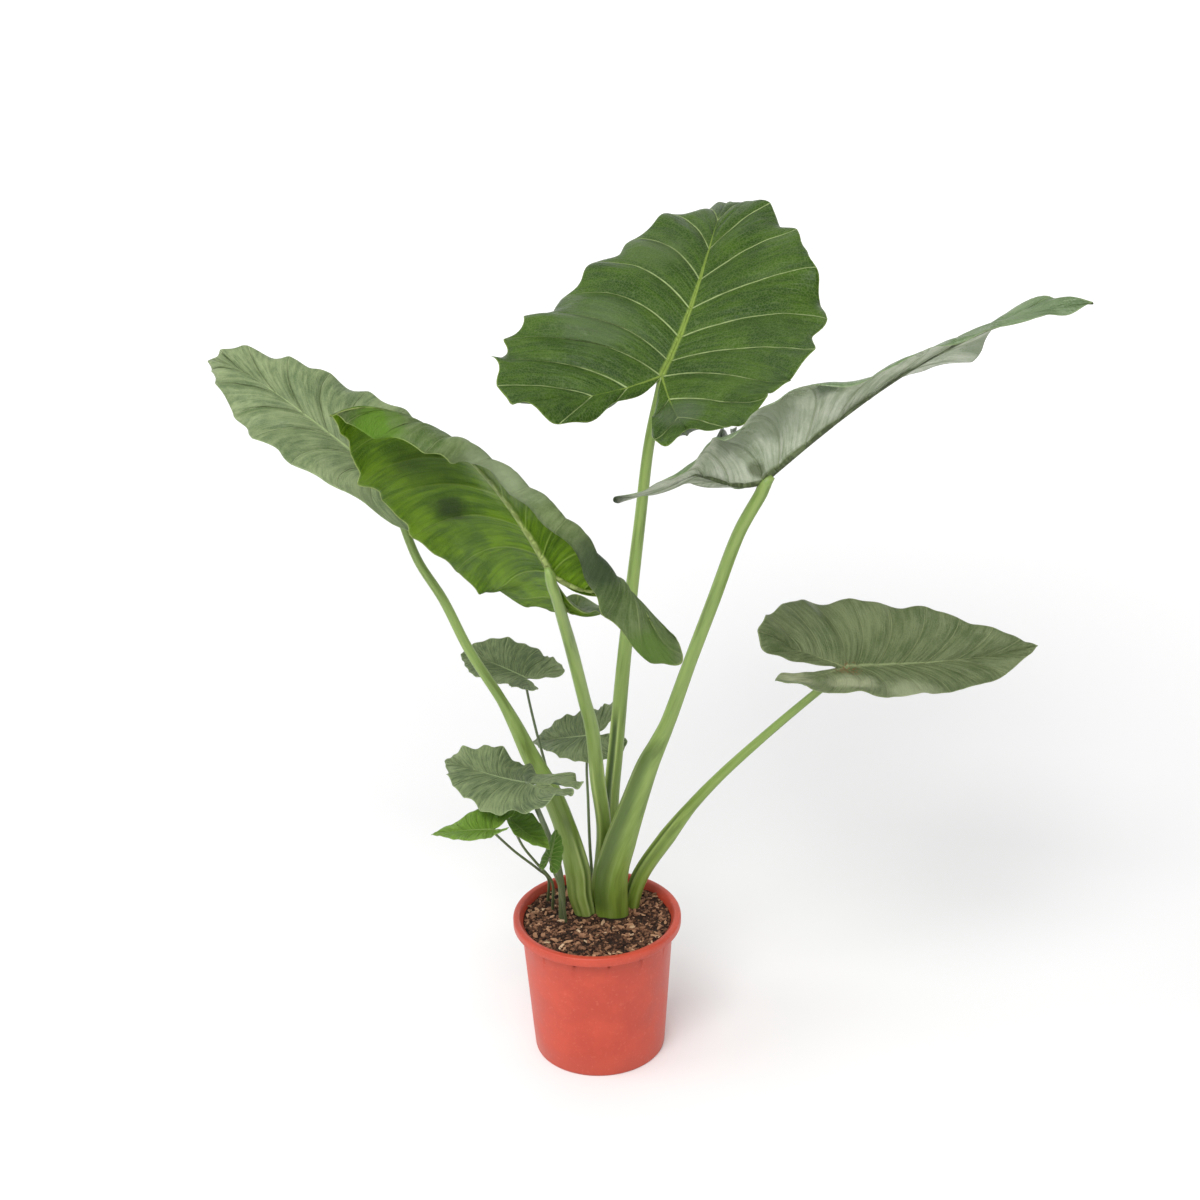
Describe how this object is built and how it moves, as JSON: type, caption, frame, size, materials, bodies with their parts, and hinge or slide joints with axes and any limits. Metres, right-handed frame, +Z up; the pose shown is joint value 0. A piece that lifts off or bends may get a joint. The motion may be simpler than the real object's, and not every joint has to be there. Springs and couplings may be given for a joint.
{
  "type": "potted alocasia plant",
  "caption": "Tall alocasia with large wavy arrow-shaped leaves on long sheathed stalks and small young leaves, growing in bark soil in a round plastic nursery pot.",
  "frame": {"origin": "middle of the pot's flat underside", "axes": "+Z up the plant, +X to the right and +Y to the back of the view it is shown from"},
  "size_m": [0.99, 0.6917, 1.0012],
  "materials": {
    "pot": "satin terracotta red injection-moulded plastic",
    "soil": null,
    "blade": null,
    "young_blade": null,
    "stalk": null
  },
  "bodies": {
    "root": {"pot": "pot", "soil": "soil", "blade_top": "blade", "stalk_top": "stalk", "blade_right": "blade", "stalk_right": "stalk", "blade_front": "blade", "stalk_front": "stalk", "blade_left": "blade", "stalk_left": "stalk", "blade_low_right": "blade", "stalk_low_right": "stalk", "blade_small_back_left": "blade", "stalk_small_back_left": "stalk", "blade_small_back": "blade", "stalk_small_back": "stalk", "blade_small_left": "blade", "stalk_small_left": "stalk", "blade_young_left": "young_blade", "stalk_young_left": "stalk", "blade_young_front": "young_blade", "stalk_young_front": "stalk", "blade_young_curled": "young_blade", "stalk_young_curled": "stalk"}
  },
  "joints": []
}
